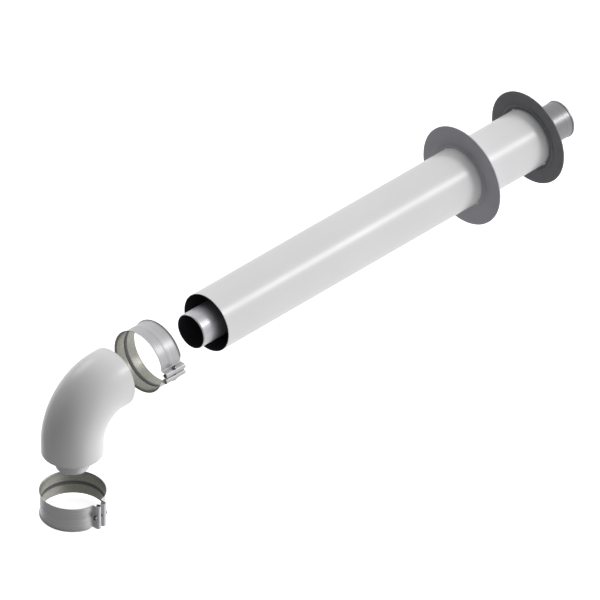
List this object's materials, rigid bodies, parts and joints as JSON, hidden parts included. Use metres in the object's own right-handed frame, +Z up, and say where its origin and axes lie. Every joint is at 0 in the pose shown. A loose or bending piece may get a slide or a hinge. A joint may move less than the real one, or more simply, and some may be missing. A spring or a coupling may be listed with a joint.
{
  "type": "flue elbow kit",
  "caption": "Concentric flue elbow with its locking bands, straight wall duct, wall seals and outlet pipe, laid out in line in the order they slide together.",
  "frame": {"origin": "centre of the elbow's outer lower rim, where the kit meets the boiler", "axes": "+Z up along the boiler connection's axis, +X along the straight duct towards the outside wall"},
  "size_m": [1.15, 0.172, 0.304],
  "materials": {
    "white_paint": "gloss white enamel",
    "flue_metal": "smooth drawn aluminium",
    "outlet_metal": "satin stainless steel",
    "band_metal": "bright rolled stainless strip",
    "fixing_metal": "zinc-plated steel",
    "spring_metal": "spring steel strip",
    "inner_rubber": "matt mid-grey moulded rubber",
    "outer_rubber": "matt dark grey moulded rubber",
    "seal_rubber": "black sealing rubber"
  },
  "bodies": {
    "elbow": {"elbow_shell": "white_paint", "elbow_flue_pipe": "flue_metal", "elbow_lip_seal": "seal_rubber", "elbow_lower_spacer": "spring_metal", "elbow_upper_spacer": "spring_metal"},
    "lower_band": {"lower_band_strip": "band_metal", "lower_band_seal": "seal_rubber", "lower_plain_trunnion": "fixing_metal", "lower_threaded_trunnion": "fixing_metal"},
    "lower_screw": {"lower_clamp_screw": "fixing_metal", "lower_screw_washer": "fixing_metal"},
    "upper_band": {"upper_band_strip": "band_metal", "upper_band_seal": "seal_rubber", "upper_plain_trunnion": "fixing_metal", "upper_threaded_trunnion": "fixing_metal"},
    "upper_screw": {"upper_clamp_screw": "fixing_metal", "upper_screw_washer": "fixing_metal"},
    "duct": {"air_duct_tube": "white_paint", "flue_pipe": "flue_metal", "duct_spacer_1": "spring_metal", "duct_spacer_2": "spring_metal", "duct_spacer_3": "spring_metal", "terminal_ring": "white_paint", "terminal_rivet_1": "fixing_metal", "terminal_rivet_2": "fixing_metal", "terminal_rivet_3": "fixing_metal", "outlet_pipe": "outlet_metal"},
    "inner_seal": {"inner_wall_seal": "inner_rubber"},
    "outer_seal": {"outer_wall_seal": "outer_rubber"}
  },
  "joints": [
    {"name": "lower_band_slide", "type": "slide", "parent": "elbow", "child": "lower_band", "axis": [0, 0, 1], "range_m": [0, 0.096]},
    {"name": "upper_band_slide", "type": "slide", "parent": "elbow", "child": "upper_band", "axis": [-1, 0, 0], "range_m": [0, 0.0695]},
    {"name": "duct_slide", "type": "slide", "parent": "elbow", "child": "duct", "axis": [-1, 0, 0], "range_m": [0, 0.206]},
    {"name": "inner_seal_slide", "type": "slide", "parent": "duct", "child": "inner_seal", "axis": [-1, 0, 0], "range_m": [-0.05, 0.3]},
    {"name": "outer_seal_slide", "type": "slide", "parent": "duct", "child": "outer_seal", "axis": [-1, 0, 0], "range_m": [0, 0.08]},
    {"name": "lower_screw_turn", "type": "hinge", "parent": "lower_band", "child": "lower_screw", "pos_m": [0, -0.0586, -0.098], "axis": [1, 0, 0], "continuous": true},
    {"name": "upper_screw_turn", "type": "hinge", "parent": "upper_band", "child": "upper_screw", "pos_m": [0.1685, -0.0586, 0.098], "axis": [0, 0, -1], "continuous": true}
  ]
}
